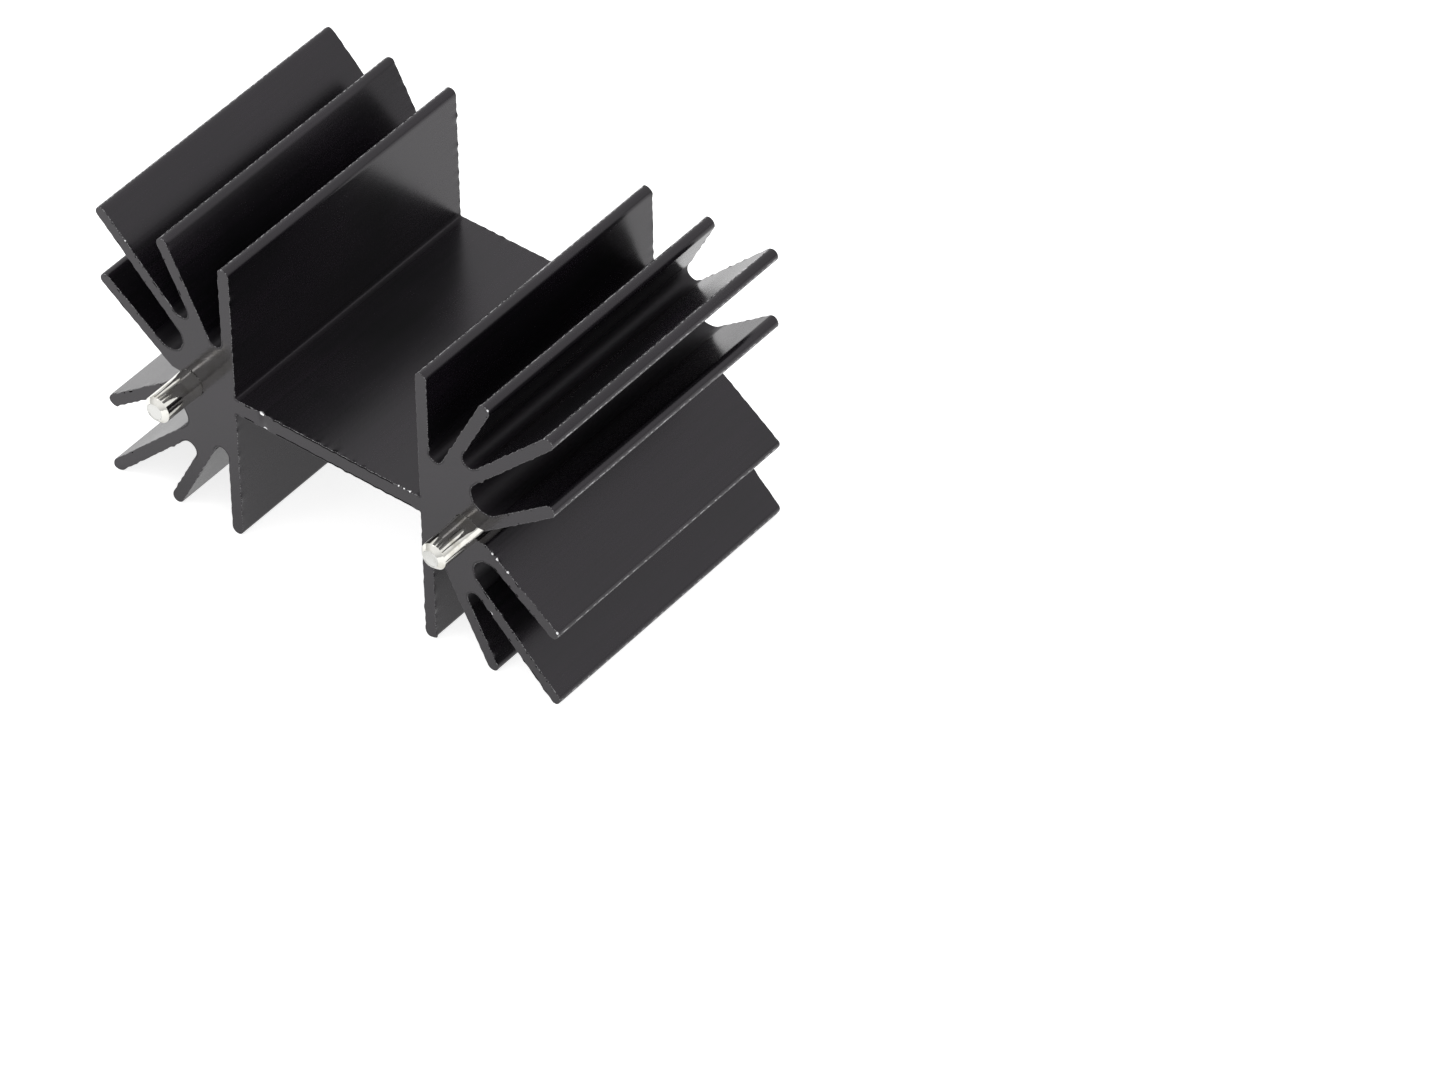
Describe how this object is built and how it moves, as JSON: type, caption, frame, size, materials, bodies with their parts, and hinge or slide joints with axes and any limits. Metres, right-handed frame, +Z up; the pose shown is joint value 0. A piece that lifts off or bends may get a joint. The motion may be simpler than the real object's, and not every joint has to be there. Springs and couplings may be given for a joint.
{
  "type": "heat sink",
  "caption": "Black extruded board heat sink: a web between two inner walls, fins spread like a fan on both sides, and tinned solder pins pressed into open channels.",
  "frame": {"origin": "middle of the overall box's underside, on the plane of the lower fin tips that it lies on", "axes": "+X across the fins, +Y along the extrusion away from the pins, which point along -Y, +Z up, normal to the web"},
  "size_m": [0.0416, 0.0294, 0.025],
  "materials": {
    "black_anodised_aluminium": "satin black anodised, with bare aluminium at small nicks",
    "tinned_pin": "satin tin plate over brass"
  },
  "bodies": {
    "root": {"finned_body": "black_anodised_aluminium", "left_solder_pin": "tinned_pin", "right_solder_pin": "tinned_pin"}
  },
  "joints": []
}
